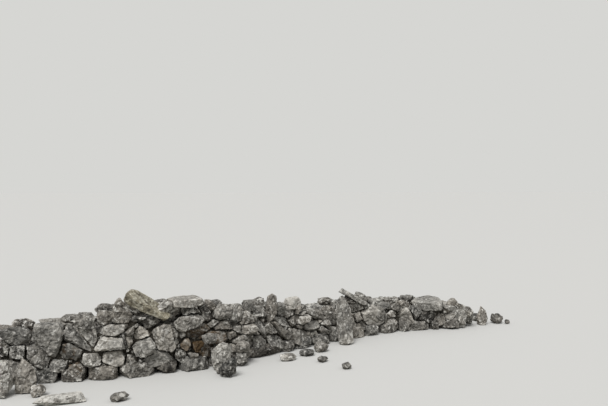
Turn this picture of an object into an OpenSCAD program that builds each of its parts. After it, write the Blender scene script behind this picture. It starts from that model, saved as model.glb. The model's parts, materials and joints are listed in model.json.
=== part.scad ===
// A ruined dry stone field wall of limestone boulders.
// Two faces of stone lean together on either side of a rubble core. They stand on a footing course,
// are tied by through stones and carry what is left of the cope. What has fallen lies at the foot.
// X runs along the wall, Y from the front face to the back, Z up. The origin is on the ground, on
// the centre line, halfway along. Sizes are in millimetres, angles in degrees.

/* [Line of the wall] */
// Length of one bay, measured straight along X
bay_length = 1250; // [1000:10:1500]
// How far the S bend swings to each side of the straight line
sway = 420; // [0:10:600]

/* [Cross section] */
// Height that the wall was first built to
built_height = 1200; // [1000:10:1500]
// Width over both faces, just above the footings
base_width = 760; // [640:10:1000]
// How far each face leans in over one metre of height
batter = 110; // [0:5:180]
// How far the face stones reach into the wall, just above the footings
skin = 240; // [200:5:280]
// How far the faces bulge at half height
belly = 22; // [0:2:60]
// How uneven the faces are
unevenness = 16; // [0:2:30]
// How far the rubble core lies below the broken top
core_drop = 70; // [20:5:90]

/* [Footings] */
// Height of the footing course
footing_height = 150; // [120:5:220]
// How far the footings stand out from the face
footing_projection = 50; // [10:5:120]
// Usual length of a footing stone
footing_length = 340; // [250:10:500]

/* [Stones] */
// Gap between neighbouring footing stones
stone_gap = 12; // [6:1:24]
// How deep a cope stone beds into the masonry
bed_depth = 10; // [4:1:25]
// Height of the bed of the through stones
through_height = 320; // [240:10:360]
// Thickness of a through stone
through_thickness = 115; // [80:5:140]
// Width of a through stone
through_width = 190; // [120:10:260]
// How far a through stone stands out on each side
through_projection = 55; // [20:5:100]

/* [Leaning slab] */
// Length of the slab that leans on the broken top
slab_length = 670; // [500:10:810]
// Width of that slab
slab_width = 330; // [250:10:420]
// Thickness of that slab
slab_thickness = 130; // [90:5:160]
// How steeply it leans along the wall
slab_lean = 29; // [20:1:36]

/* [Hidden] */
BAYS = 6;

// How much of the built height still stands, in percent, on each fifth of a bay
FRONT_LEFT = [
    36, 36, 34, 38, 44, 47, 62, 50, 49, 58, 54, 40, 47, 49, 43, 41, 33, 29, 35, 38, 37, 31, 31, 29, 28, 28, 24
];
BACK_LEFT = [
    40, 41, 39, 43, 46, 50, 54, 56, 55, 52, 50, 48, 46, 44, 42, 38, 36, 32, 33, 35, 33, 31, 30, 31, 30, 27, 24
];
TREADS = 5;
// The share of each fifth that is taken by the step up or down to the next
STEP = 0.16;
// The least height of masonry that stands above the footings
LEAST = 60;

wall_length = BAYS * bay_length;
masonry_bays = len(FRONT_LEFT) / TREADS;
core_half = base_width / 2 - skin;
far = 2 * wall_length;

// The line of the wall

// How far along X a place is, counted in bays from the near end, and the other way about
function along(bay) = (bay - BAYS / 2) * bay_length;
function bay_at(x) = x / bay_length + BAYS / 2;
function line_y(x) = sway * sin(360 * x / wall_length);
function line_turn(x) = atan(sway * 2 * PI / wall_length * cos(360 * x / wall_length));
// A point given by its place along the line, across it towards the back, and up
function place(x, across, up) =
    [x - across * sin(line_turn(x)), line_y(x) + across * cos(line_turn(x)), up];

// The cross section

function left_on(side) = side < 0 ? FRONT_LEFT : BACK_LEFT;
function treads_of(left) =
    [for (i = [0 : len(left) - 1]) each [[i + STEP / 2, left[i]], [i + 1 - STEP / 2, left[i]]]];
// The height that still stands on one side at a place along the line
function standing(side, x) =
    max(footing_height + LEAST, built_height / 100 * lookup(bay_at(x) * TREADS, treads_of(left_on(side))));
// Half the width between the faces at a height
function half_at(z) = base_width / 2 - batter / 1000 * (z - footing_height);
function bump(x, level) = unevenness * sin(1700 * bay_at(x) + 130 * level);
// A place across, measured inwards from the middle of the top of one face
function on_top(side, x, inward) = side * ((core_half + half_at(standing(side, x))) / 2 - inward);

// One face at a place along the line, as [across, up] points
function face_section(x, side) =
    let (top = standing(side, x), middle = (footing_height + top) / 2)
    [[side * half_at(footing_height), footing_height],
     [side * (half_at(middle) + belly + bump(x, 1)), middle],
     [side * (half_at(top) + bump(x, 2)), top],
     [side * core_half, top],
     [side * core_half, footing_height]];

function core_section(x) =
    [[-core_half, 0],
     [-core_half, standing(-1, x) - core_drop],
     [core_half, standing(1, x) - core_drop],
     [core_half, 0]];

// Where the sections of one bay stand: at both sides of every step, and at both ends
function stations(k) =
    let (first = (k - 1) * TREADS, last = min(k, masonry_bays) * TREADS - 1)
    concat(
        [along(first / TREADS)],
        [for (i = [first : last]) each [along((i + STEP / 2) / TREADS), along((i + 1 - STEP / 2) / TREADS)]],
        [along((last + 1) / TREADS)]
    );

// A solid through the sections, which turn clockwise seen from the near end; each side is split
// along the diagonal that climbs
module loft(places, sections) {
    n = len(sections[0]);
    last = len(places) - 1;
    points = [for (i = [0 : last]) for (p = sections[i]) place(places[i], p[0], p[1])];
    sides = [for (i = [0 : last - 1]) for (j = [0 : n - 1])
        let (a = i * n + j, b = i * n + (j + 1) % n)
        each (points[a].z <= points[b].z
            ? [[a, b, b + n], [a, b + n, a + n]]
            : [[a, b, a + n], [b, b + n, a + n]])];
    near_end = [for (j = [n - 1 : -1 : 0]) j];
    far_end = [for (j = [0 : n - 1]) last * n + j];
    polyhedron(points = points, faces = concat(sides, [near_end, far_end]), convexity = 6);
}

function turned_over(list) = [for (i = [len(list) - 1 : -1 : 0]) list[i]];

module face_mass(k, side) {
    places = stations(k);
    sections = [for (x = places) face_section(x, side)];
    loft(places, side < 0 ? sections : [for (s = sections) turned_over(s)]);
}

module core_mass(k) {
    places = stations(k);
    loft(places, [for (x = places) core_section(x)]);
}

// All the masonry from one place to another, both counted in bays
module masonry(from, to) {
    for (k = [max(1, floor(from) + 1) : min(BAYS, floor(to) + 1)]) {
        face_mass(k, -1);
        face_mass(k, 1);
        core_mass(k);
    }
}

// Single stones

// The corners of an irregular boulder of about the given size, centred on the origin
function boulder_points(size, seed, n = 15) =
    let (jitter = rands(0.86, 1.04, n, seed), turn = rands(0, 360, 1, seed + 1)[0])
    [for (i = [0 : n - 1])
        let (up = 1 - (2 * i + 1) / n, out = sqrt(1 - up * up), a = turn + i * 137.508,
             way = [out * cos(a), out * sin(a), up],
             reach = pow(pow(abs(way.x), 4) + pow(abs(way.y), 4) + pow(abs(way.z), 4), -0.25))
        [for (q = [0 : 2]) way[q] * reach * jitter[i] * size[q] / 2]];

// The same boulder standing on a flat bed at z = 0, with its top near the given height
function bedded_points(size, seed, n = 15) =
    let (bed = 0.42 * size.z)
    [for (p = boulder_points([size.x, size.y, 1.1 * size.z], seed, n)) [p.x, p.y, max(p.z, -bed) + bed]];

// The corners of a boulder with a flat top that narrows towards its foot, which also lies to one side
function tapered_points(size, seed, taper, skew) =
    let (top = (1 - taper) * size.z / 2)
    [for (p = boulder_points([size.x, size.y, (1 + taper) * size.z], seed))
        let (up = min(p.z, top))
        [p.x * (1 + taper * up / top) - skew * up, p.y, up]];

// The corners of a stone that stands on its bed and narrows to a point
function pointed_points(size, seed, n = 6) =
    let (jitter = rands(0.86, 1.12, 3 * n, seed), wide = [0.92, 1, 0.55], up = [0, 0.36, 0.74])
    concat(
        [for (level = [0 : 2]) for (i = [0 : n - 1])
            let (a = 360 * (i + level / 2) / n, out = jitter[level * n + i] * wide[level] / 2)
            [size.x * out * cos(a), size.y * out * sin(a), size.z * up[level]]],
        [[-0.12 * size.x, 0.05 * size.y, size.z]]
    );

// Points tipped up towards the back, then leaned down along the wall
function leaned(points, lean, pitch) =
    [for (p = points)
        let (back = p.y * cos(pitch) - p.z * sin(pitch), up = p.y * sin(pitch) + p.z * cos(pitch))
        [p.x * cos(lean) + up * sin(lean), back, up * cos(lean) - p.x * sin(lean)]];
function lowest(points) = let (ups = [for (p = points) p.z]) points[search(min(ups), ups)[0]];

module stone(points) {
    hull() polyhedron(points = points, faces = [for (i = [0 : len(points) - 3]) [i, i + 1, i + 2]]);
}

// The joints of a course from one place to another, unevenly spaced
function joints(from, to, count, seed) =
    let (shift = rands(-0.28, 0.28, count + 1, seed))
    [for (i = [0 : count]) from + (to - from) * (i + (i == 0 || i == count ? 0 : shift[i])) / count];

// One footing stone between two joints: flat above and below, with a rounded outer side
module footing(from, to, side, seed) {
    r = rands(-1, 1, 12, seed);
    a = from + stone_gap / 2;
    b = to - stone_gap / 2;
    h = footing_height;
    inner = core_half - 8;
    outer = half_at(h) + footing_projection * (1 + 0.6 * r[0]);
    shoulder = inner + 0.66 * (outer - inner);
    cut = 0.16 * (b - a);
    stone(concat(
        [for (x = [a, b]) for (z = [0, h]) for (y = [inner, shoulder]) place(x, side * y, z)],
        [place(a + cut * (1 + 0.5 * r[1]), side * outer * 0.98, 0),
         place(b - cut * (1 + 0.5 * r[2]), side * outer * 0.97, 0),
         place(a + cut * (1.1 + 0.6 * r[3]), side * (outer + 6 * r[4]), h * (0.55 + 0.1 * r[5])),
         place(b - cut * (1.1 + 0.6 * r[6]), side * (outer + 6 * r[7]), h * (0.5 + 0.1 * r[8])),
         place(a + cut * (1.5 + 0.5 * r[9]), side * (outer - 34), h * (0.93 + 0.07 * r[5])),
         place(b - cut * (1.5 + 0.5 * r[10]), side * (outer - 40), h * (0.9 + 0.1 * r[8])),
         place((a + b) / 2, side * (outer + 10), h * (0.4 + 0.1 * r[11]))]
    ));
}

// Large stones built into the front face: [bay, middle above the footings, size, turned, rolled,
// taper, skew]. Each fills its own pocket in the face and bears on the core.
BOULDERS = [
    [0.7, 345, [340, 280, 400], -6, 0, 0.3, 0.14],
    [1.85, 375, [420, 290, 190], 4, 8, 0.1, 0],
    [2.72, 435, [150, 250, 390], 8, 4, 0.05, 0],
    [4.27, 134, [350, 280, 220], -8, 10, 0.05, 0]
];
// How far the back of such a stone reaches past the face of the core before it is cut there
BOULDER_BACK = 30;

module boulder_shape(i) {
    b = BOULDERS[i];
    x = along(b[0]);
    translate(place(x, BOULDER_BACK - core_half - b[2].y / 2, footing_height + b[1]))
        rotate([0, b[4], line_turn(x) + b[3]]) stone(tapered_points(b[2], 700 + i, b[5], b[6]));
}

module boulder_shapes(from, to) {
    for (i = [0 : len(BOULDERS) - 1])
        if (BOULDERS[i][0] > from && BOULDERS[i][0] < to) boulder_shape(i);
}

// How far to each side of its middle a stone on the broken top is sure to bear, as a share of its length
BED_REACH = 0.2;

// A stone that lies on the broken top: its place in bays, its side, how far in from the middle of
// the face, its size, how it is turned and tipped. It rests on the highest stone under the middle
// of its bed, and sinks into that by its bed.
module cope_stone(bay, side, inward, size, turned, tipped, seed) {
    x = along(bay);
    reach = size.x * BED_REACH;
    rest = max([for (d = [-reach, 0, reach]) standing(side, x + d)]);
    slope = rands(-5, 5, 1, seed)[0];
    difference() {
        translate(place(x, on_top(side, x, inward), rest - bed_depth))
            rotate([0, 0, line_turn(x) + turned]) rotate([tipped, slope, 0])
                stone(bedded_points(size, seed));
        masonry(bay - 0.2, bay + 0.2);
        boulder_shapes(bay - 0.4, bay + 0.4);
    }
}

// A stone that lies on the ground: its place in bays, across from the centre line, size and turn
module ground_stone(bay, across, size, turned, seed) {
    x = along(bay);
    translate(place(x, across, 0)) rotate([0, 0, line_turn(x) + turned]) stone(bedded_points(size, seed));
}

// A list of such stones, each [bay, across, size, turned]
module ground_stones(list, seed) {
    for (i = [0 : len(list) - 1]) {
        s = list[i];
        ground_stone(s[0], s[1], s[2], s[3], seed + i);
    }
}

// The pieces

module footings(k) {
    end = min(k, masonry_bays);
    count = ceil((along(end) - along(k - 1)) / footing_length);
    color([0.44, 0.43, 0.41]) for (side = [-1, 1]) {
        cuts = joints(along(k - 1), along(end), count, 40 * k + side);
        difference() {
            for (i = [0 : count - 1])
                footing(cuts[i], cuts[i + 1], side, 100 * k + 10 * i + side);
            core_mass(k);
        }
    }
}

THROUGHS = [1.22, 2.42, 3.1];

module through(bay, seed) {
    x = along(bay);
    reach = half_at(through_height) + belly + through_projection;
    half_wide = through_width / 2;
    r = rands(-1, 1, 8, seed);
    translate(place(x, 0, through_height)) rotate([0, 0, line_turn(x)])
        stone([for (end = [-1, 1]) for (side = [-1, 1]) each [
            [side * half_wide, end * (reach - 30), 0],
            [side * (half_wide - 14), end * (reach + 10 * r[end + side + 2]), 14],
            [side * (half_wide - 20), end * (reach - 12), through_thickness - 16],
            [side * (half_wide - 12), end * (reach - 60), through_thickness]]]);
}

module throughs() {
    for (i = [0 : len(THROUGHS) - 1]) through(THROUGHS[i], 60 + i);
}

module front_face(k) {
    color([0.50, 0.49, 0.47]) difference() {
        face_mass(k, -1);
        throughs();
        boulder_shapes(k - 1, k);
    }
}

module back_face(k) {
    color([0.48, 0.47, 0.45]) difference() {
        face_mass(k, 1);
        throughs();
    }
}

module core(k) {
    color([0.36, 0.34, 0.31]) difference() {
        core_mass(k);
        throughs();
    }
}

// What is left of the cope on each bay: [bay, side, inward, size, turned, tipped]
COPES = [
    [
        [0.18, -1, 20, [300, 250, 130], 10, 4],
        [0.44, -1, 0, [280, 260, 170], -6, 6],
        [0.96, -1, 5, [265, 200, 195], 14, 6],
        [0.42, 1, 50, [300, 240, 130], -20, -5],
        [0.84, 1, 45, [260, 220, 110], 12, -4]
    ],
    [
        [1.15, -1, 45, [215, 210, 190], 12, 5],
        [1.16, 1, 50, [300, 230, 130], -16, -4],
        [1.7, 1, 50, [320, 240, 120], 18, -3]
    ],
    [
        [2.07, -1, 20, [210, 230, 165], -8, 4],
        [2.32, -1, -20, [130, 220, 240], 6, 5],
        [2.46, -1, 10, [165, 200, 165], -14, 4],
        [2.64, -1, 90, [210, 190, 145], 10, 6],
        [2.3, 1, 50, [300, 220, 130], 22, -4],
        [2.75, 1, 50, [260, 210, 120], -12, -3]
    ],
    [
        [3.03, -1, 30, [270, 230, 185], 8, 4],
        [3.32, -1, 0, [250, 230, 90], -4, 10],
        [3.53, -1, 30, [215, 210, 150], -12, 4],
        [3.3, 1, 50, [280, 210, 110], 18, -4],
        [3.78, 1, 50, [240, 200, 110], -8, -3]
    ],
    [
        [4.12, -1, 130, [220, 200, 170], -14, 3],
        [4.29, -1, 50, [210, 200, 135], 12, 4],
        [4.68, -1, 50, [250, 220, 110], 8, 6],
        [4.35, 1, 60, [280, 210, 110], 10, -3],
        [4.9, 1, 60, [260, 210, 100], -10, -4]
    ],
    [
        [5.34, -1, 70, [185, 190, 150], 6, 4]
    ]
];

module cope_stones(k) {
    color([0.56, 0.55, 0.52]) difference() {
        for (i = [0 : len(COPES[k - 1]) - 1]) {
            c = COPES[k - 1][i];
            cope_stone(c[0], c[1], c[2], c[3], c[4], c[5], 300 + 20 * k + i);
        }
        if (k == ceil(RAISED_FOOT)) raised_shape();
    }
}

module through_stones() {
    color([0.54, 0.53, 0.50]) throughs();
}

module face_boulders() {
    color([0.52, 0.51, 0.49]) difference() {
        boulder_shapes(0, BAYS);
        for (k = [1 : BAYS]) core_mass(k);
    }
}

// A flat slab that leans on the broken top. Its lower end stands at a place in bays and is bedded
// there, so its middle lies as far back as the slab reaches.
function slab_points(size, lean, pitch, seed) = leaned(boulder_points(size, seed, 18), lean, pitch);
function slab_x(foot_bay, points) = along(foot_bay) - lowest(points).x;
function slab_up(foot_bay, points) = standing(-1, along(foot_bay)) - bed_depth - lowest(points).z;

module slab_shape(foot_bay, inward, points, turned) {
    x = slab_x(foot_bay, points);
    translate(place(x, on_top(-1, x, inward), slab_up(foot_bay, points)))
        rotate([0, 0, line_turn(x) + turned]) stone(points);
}

// The stone under the raised end of such a slab, this far back from the slab's middle
module slab_prop(foot_bay, inward, points, turned, lean, back, size, seed) {
    x = slab_x(foot_bay, points) - back;
    bed = standing(-1, x) - bed_depth;
    rise = slab_up(foot_bay, points) + back * tan(lean) - bed;
    difference() {
        translate([0, 0, bed])
            ground_stone(bay_at(x), on_top(-1, x, inward), [size.x, size.y, rise], turned, seed);
        masonry(bay_at(x) - 0.2, bay_at(x) + 0.2);
        slab_shape(foot_bay, inward, points, turned);
    }
}

SLAB_FOOT = 1.63;
SLAB_INWARD = 15;
SLAB_TURNED = -6;
// How far the stone under each raised end stands from the middle, as a share of the slab's length
SLAB_PROP = 0.34;
RAISED_PROP = 0.22;

function leaning_points() = slab_points([slab_length, slab_width, slab_thickness], slab_lean, 16, 411);

module leaning_slab() {
    color([0.55, 0.53, 0.44]) difference() {
        slab_shape(SLAB_FOOT, SLAB_INWARD, leaning_points(), SLAB_TURNED);
        masonry(SLAB_FOOT - 0.5, SLAB_FOOT + 0.1);
        boulder_shapes(1, 2);
    }
}

RAISED_SIZE = [470, 290, 95];
RAISED_LEAN = 26;
RAISED_FOOT = 4.06;
RAISED_INWARD = 30;
RAISED_TURNED = 4;

function raised_points() = slab_points(RAISED_SIZE, RAISED_LEAN, 10, 431);

module raised_shape() {
    slab_shape(RAISED_FOOT, RAISED_INWARD, raised_points(), RAISED_TURNED);
}

module raised_slab() {
    color([0.55, 0.54, 0.51]) difference() {
        raised_shape();
        masonry(RAISED_FOOT - 0.4, RAISED_FOOT + 0.1);
    }
}

module prop_stone() {
    color([0.45, 0.44, 0.41]) {
        slab_prop(SLAB_FOOT, SLAB_INWARD, leaning_points(), SLAB_TURNED, slab_lean,
            SLAB_PROP * slab_length * cos(slab_lean), [150, 190], 416);
        slab_prop(RAISED_FOOT, RAISED_INWARD, raised_points(), RAISED_TURNED, RAISED_LEAN,
            RAISED_PROP * RAISED_SIZE.x * cos(RAISED_LEAN), [130, 180], 436);
    }
}

module flat_cope_slab() {
    color([0.58, 0.57, 0.54]) cope_stone(1.84, -1, 30, [440, 350, 140], 4, 3, 421);
}

module broad_slab() {
    color([0.55, 0.54, 0.51]) cope_stone(5.02, -1, 60, [520, 420, 140], -4, 14, 441);
}

// A slab that stands on the ground and leans back on the face; its foot is a little below the ground
UPRIGHT_BAY = 3.59;
UPRIGHT_SUNK = 40;

module upright_slab() {
    x = along(UPRIGHT_BAY);
    points = leaned(boulder_points([215, 150, 780], 451, 18), 6, -16);
    color([0.42, 0.41, 0.39]) difference() {
        translate(place(x, -half_at(0) - footing_projection - 70, 0)) rotate([0, 0, line_turn(x) - 6])
            intersection() {
                translate([0, 0, -lowest(points).z - UPRIGHT_SUNK]) stone(points);
                translate([-far / 2, -far / 2, 0]) cube(far);
            }
        masonry(UPRIGHT_BAY - 0.2, UPRIGHT_BAY + 0.2);
        footings(4);
    }
}

module pointed_boulder() {
    x = along(0.6);
    color([0.40, 0.40, 0.38]) translate(place(x, -640, 0)) rotate([0, 0, line_turn(x)])
        stone(pointed_points([250, 250, 385], 461));
}

module corner_boulder() {
    color([0.50, 0.49, 0.47]) ground_stone(0.43, -800, [270, 290, 370], -14, 471);
}

module long_fallen_slab() {
    color([0.50, 0.49, 0.45]) ground_stone(0.87, -1120, [670, 230, 100], 10, 481);
}

FALLEN = [
    [0.7, -850, [185, 160, 140], 20],
    [1.2, -1200, [205, 150, 90], 30],
    [2.65, -690, [270, 180, 90], 10],
    [2.9, -680, [230, 170, 90], -20],
    [3.12, -640, [235, 200, 125], 24],
    [2.84, -1030, [180, 130, 75], 10],
    [2.82, -1450, [170, 130, 75], 50]
];

module fallen_stones() {
    color([0.50, 0.49, 0.46]) ground_stones(FALLEN, 500);
}

TUMBLE_LOWER = [
    [2.0, -840, [215, 200, 220], 10],
    [1.98, -690, [110, 105, 90], -24],
    [2.04, -520, [235, 220, 370], 30],
    [2.25, -520, [205, 200, 175], 50]
];
// The stones on top of these, with the number of the one that carries each, and how high up it
TUMBLE_UPPER = [
    [1.98, -470, [210, 180, 140], -12, 2],
    [2.28, -490, [230, 200, 160], 24, 3]
];
UPPER_BED = 0.8;

module front_tumble_lower() {
    color([0.48, 0.47, 0.44]) difference() {
        ground_stones(TUMBLE_LOWER, 540);
        footings(2);
        footings(3);
        masonry(1.9, 2.6);
    }
}

module front_tumble_upper() {
    color([0.50, 0.49, 0.46]) difference() {
        for (i = [0 : len(TUMBLE_UPPER) - 1]) {
            s = TUMBLE_UPPER[i];
            translate([0, 0, UPPER_BED * TUMBLE_LOWER[s[4]][2].z])
                ground_stone(s[0], s[1], s[2], s[3], 560 + i);
        }
        footings(2);
        footings(3);
        front_tumble_lower();
        masonry(1.9, 2.6);
    }
}

TAIL = [
    [5.53, -140, [270, 260, 320], 12],
    [5.53, 190, [220, 230, 200], -16],
    [5.77, 180, [220, 200, 130], -10],
    [5.94, -40, [210, 200, 165], 40],
    [6.05, -110, [100, 95, 80], 10]
];

module tail_stones() {
    x = along(5.75);
    color([0.52, 0.51, 0.48]) difference() {
        union() {
            ground_stones(TAIL, 600);
            translate(place(x, -110, 0)) rotate([0, 0, line_turn(x)])
                stone(pointed_points([210, 220, 290], 611));
        }
        masonry(5, 5.4);
        footings(6);
    }
}

for (k = [1 : BAYS]) {
    footings(k);
    front_face(k);
    back_face(k);
    core(k);
    cope_stones(k);
}
through_stones();
face_boulders();
leaning_slab();
prop_stone();
flat_cope_slab();
raised_slab();
broad_slab();
upright_slab();
pointed_boulder();
corner_boulder();
long_fallen_slab();
fallen_stones();
front_tumble_lower();
front_tumble_upper();
tail_stones();
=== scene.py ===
# Ruined dry stone wall of weathered limestone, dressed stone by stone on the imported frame, in metres.
import bpy, bmesh, json, math
import numpy as np
from mathutils import Vector, Matrix
from mathutils.bvhtree import BVHTree

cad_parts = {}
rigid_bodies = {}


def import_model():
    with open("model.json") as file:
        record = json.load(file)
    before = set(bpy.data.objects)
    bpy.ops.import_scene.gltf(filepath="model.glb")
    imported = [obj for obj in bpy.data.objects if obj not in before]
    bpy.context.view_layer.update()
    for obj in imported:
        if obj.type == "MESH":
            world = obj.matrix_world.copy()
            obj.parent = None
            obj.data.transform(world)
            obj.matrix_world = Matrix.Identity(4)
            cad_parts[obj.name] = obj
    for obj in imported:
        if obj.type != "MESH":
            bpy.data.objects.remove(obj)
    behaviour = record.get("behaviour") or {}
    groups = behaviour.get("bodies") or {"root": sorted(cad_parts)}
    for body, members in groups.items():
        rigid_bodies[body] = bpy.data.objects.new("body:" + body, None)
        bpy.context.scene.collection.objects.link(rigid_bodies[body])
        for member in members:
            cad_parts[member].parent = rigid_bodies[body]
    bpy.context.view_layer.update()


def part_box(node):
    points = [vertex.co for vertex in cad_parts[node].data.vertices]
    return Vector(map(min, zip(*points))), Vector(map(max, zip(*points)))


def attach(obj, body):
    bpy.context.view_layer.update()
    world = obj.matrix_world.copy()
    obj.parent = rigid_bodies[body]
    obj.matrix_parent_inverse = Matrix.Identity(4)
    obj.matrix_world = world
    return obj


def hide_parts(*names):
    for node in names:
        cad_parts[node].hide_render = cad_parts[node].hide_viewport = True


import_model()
scene = bpy.context.scene
seeds = {"frameStones": 11, "faceStones": 23, "backCourses": 37, "endCourses": 41, "chips": 71}
fullTurn = 6.28  # radians

# small tools

def linearColour(hexCode):
    parts = [int(hexCode[i:i + 2], 16) / 255 for i in (1, 3, 5)]
    return tuple(p / 12.92 if p <= 0.04045 else ((p + 0.055) / 1.055) ** 2.4 for p in parts) + (1.0,)

def addNode(tree, kind, inputs=None, **settings):  # a node given as an input stands for its first output
    node = tree.nodes.new(kind)
    for name, value in settings.items():
        setattr(node, name, value)
    for name, value in (inputs or {}).items():
        if isinstance(value, bpy.types.Node):
            value = value.outputs[0]
        if isinstance(value, bpy.types.NodeSocket):
            tree.links.new(value, node.inputs[name])
        else:
            node.inputs[name].default_value = value
    return node

def perMetre(millimetres):  # a pattern's scale from the real size of one patch
    return 1000.0 / millimetres

def inScene(name, data):
    obj = bpy.data.objects.new(name, data)
    scene.collection.objects.link(obj)
    return obj

def meshOf(name):
    return bpy.data.objects[name].data

def flatTurn(angle):
    return np.array([[math.cos(angle), -math.sin(angle)], [math.sin(angle), math.cos(angle)]])

# the line of the wall, as the frame has it

wall = {"bays": 6, "bayLength": 1.25, "sway": 0.42, "baseWidth": 0.76, "batter": 0.11}
wall["footingHeight"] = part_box("front_face_1")[0][2]
wallLength = wall["bays"] * wall["bayLength"]
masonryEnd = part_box("core_6")[1][0]  # the last standing masonry
bayNumbers = range(1, wall["bays"] + 1)
faceMiddle = 0.35  # the height at which a face is measured along

def lineY(x):
    return wall["sway"] * math.sin(2 * math.pi * x / wallLength)

def lineTurn(x):
    return math.atan(wall["sway"] * 2 * math.pi / wallLength * math.cos(2 * math.pi * x / wallLength))

def place(x, across, z):
    t = lineTurn(x)
    return np.array([x - across * math.sin(t), lineY(x) + across * math.cos(t), z])

def wallPlace(point):  # the other way about: along, across
    x = point[0]
    for _ in range(6):  # near the wall this settles to less than a millimetre
        t = lineTurn(x)
        across = (point[1] - lineY(x)) * math.cos(t) + (x - point[0]) * math.sin(t)
        x = point[0] + across * math.sin(t)
    return x, (point[1] - lineY(x)) / math.cos(lineTurn(x))

def halfAt(z):
    return wall["baseWidth"] / 2 - wall["batter"] * (z - wall["footingHeight"])

def treeOf(names):
    verts, faces = [], []
    for name in names:
        mesh = meshOf(name)
        base = len(verts)
        verts += [v.co.copy() for v in mesh.vertices]
        faces += [tuple(base + i for i in p.vertices) for p in mesh.polygons]
    return BVHTree.FromPolygons(verts, faces)

topTree = treeOf([f"{stem}_{k}" for stem in ("front_face", "back_face", "core") for k in bayNumbers])

# the photograph's camera: focal length, width and middle in pixels, the eye, its turn and tip in degrees
photo = {
    "focal": 700.0, "width": 608.0, "middleX": 304.0, "middleY": 203.0, "eye": (-3.6, -8.6, 2.1),
    "turn": -24.8, "tip": -1.23, "nearest": 4.0, "farthest": 16.0,  # the wall lies between these two
}
eye = np.array(photo["eye"])
eyeAngles = (math.radians(90 + photo["tip"]), 0, math.radians(photo["turn"]))
eyeTurn = Matrix.Rotation(eyeAngles[2], 3, "Z") @ Matrix.Rotation(eyeAngles[0], 3, "X")

def sightLine(px, py):
    ray = Vector(((px - photo["middleX"]) / photo["focal"], (photo["middleY"] - py) / photo["focal"], -1))
    return np.array(eyeTurn @ ray)

def pixelOf(point):
    ray = eyeTurn.transposed() @ Vector(np.asarray(point) - eye)
    near = photo["focal"] / -ray.z
    return photo["middleX"] + near * ray.x, photo["middleY"] - near * ray.y

def ontoFace(px, py):  # where a point of the photograph meets the front face: along, height
    ray = sightLine(px, py)
    near, far = photo["nearest"], photo["farthest"]
    for _ in range(30):  # each round halves the stretch between them
        middle = (near + far) / 2
        p = eye + ray * middle
        if wallPlace(p)[1] < -halfAt(max(p[2], 0.0)):
            near = middle
        else:
            far = middle
    p = eye + ray * near
    return wallPlace(p)[0], p[2]

# stones: each one is pushed out to its flat sides, and "edge" says how sharply they meet

def hullOf(points):  # the corners of an outline in turn, without those that lie inside
    points = sorted(map(tuple, points))
    def half(walk):
        chain = []
        for p in walk:
            while len(chain) > 1:
                last = np.array(chain[-1])
                if np.cross(last - chain[-2], p - last) > 0:
                    break
                chain.pop()
            chain.append(p)
        return chain[:-1]
    return np.array(half(points) + half(points[::-1]))

def roundGrid(count):  # evenly spread ways outward, and the triangles between them
    k = np.arange(count)
    up = 1 - (2 * k + 1) / count
    turn = k * math.pi * (3 - math.sqrt(5))
    ways = np.stack([np.sqrt(1 - up * up) * np.cos(turn), np.sqrt(1 - up * up) * np.sin(turn), up], axis=1)
    bm = bmesh.new()
    for w in ways:
        bm.verts.new(w)
    bm.verts.ensure_lookup_table()
    bmesh.ops.convex_hull(bm, input=bm.verts)
    bmesh.ops.triangulate(bm, faces=bm.faces)
    bm.verts.index_update()
    ways = np.array([v.co[:] for v in bm.verts])
    faces = np.array([[v.index for v in f.verts] for f in bm.faces])
    bm.free()
    out = np.cross(ways[faces[:, 1]] - ways[faces[:, 0]], ways[faces[:, 2]] - ways[faces[:, 0]])
    flip = (out * ways[faces[:, 0]]).sum(axis=1) < 0
    faces[flip] = faces[flip][:, ::-1]
    return ways, faces

chipGrid, roughGrid, gridSizes = 28, 160, (80, 160, 320, 640, 1200, 2200)
grids = {count: roundGrid(count) for count in (chipGrid, *gridSizes)}

def gridFor(half, spacing):  # as many points as keep them about this far apart
    a, b, c = half
    area = 4 * math.pi * ((((a * b) ** 1.6 + (a * c) ** 1.6 + (b * c) ** 1.6) / 3) ** (1 / 1.6))
    squarer, packed = 1.25, 0.87  # a stone has more surface than an egg, and its points sit in triangles
    want = max(squarer * area / (packed * spacing * spacing), gridSizes[0])
    return min(gridSizes, key=lambda count: abs(math.log(count / want)))

def knockOff(sides, half, dice, count, keep, lean=(0, 0, 0)):  # shallow broken faces all over a stone
    ways = grids[roughGrid][0]
    push = np.clip(ways @ sides.T, 0, None).max(axis=1)
    skin = ways * half / np.maximum(push, 1e-6)[:, None]
    more = []
    for _ in range(count):
        n = dice.normal(size=3) + lean
        n /= np.linalg.norm(n)
        more.append(n * half / ((skin @ n).max() * dice.uniform(*keep)))
    return np.vstack([sides, more])

def newStone(centre, half, axes, sides, grid, thick, dice, tone, lichen, stain=0.0, edge=170.0):
    return {
        "centre": np.array(centre), "half": half, "axes": axes, "sides": sides, "grid": grid, "thick": thick,
        "tone": tone, "lichen": lichen, "stain": stain, "edge": edge,
        "warm": dice.uniform(0, 1), "seed": int(dice.integers(1 << 30)),
    }

def shapeOf(stone):
    ways, faces = grids[stone["grid"]]
    dice = np.random.default_rng(stone["seed"])
    spin = np.array(Matrix.Rotation(dice.uniform(0, fullTurn), 3, Vector(dice.normal(size=3))))
    ways = ways @ spin.T
    push = np.clip(ways @ stone["sides"].T, 0, None) ** stone["edge"]
    local = ways * push.sum(axis=1)[:, None] ** (-1 / stone["edge"]) * stone["half"]
    return local @ stone["axes"].T + stone["centre"], faces

def paintLooks(mesh, looks):  # how pale, how much lichen, how stained, how warm
    colour = mesh.attributes.new("stoneLook", "FLOAT_COLOR", "POINT")
    colour.data.foreach_set("color", np.array(looks, np.float32).ravel())

worn = {"least": 0.35, "fullFrom": 0.16}  # a stone thinner than fullFrom is weathered less deeply

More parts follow.
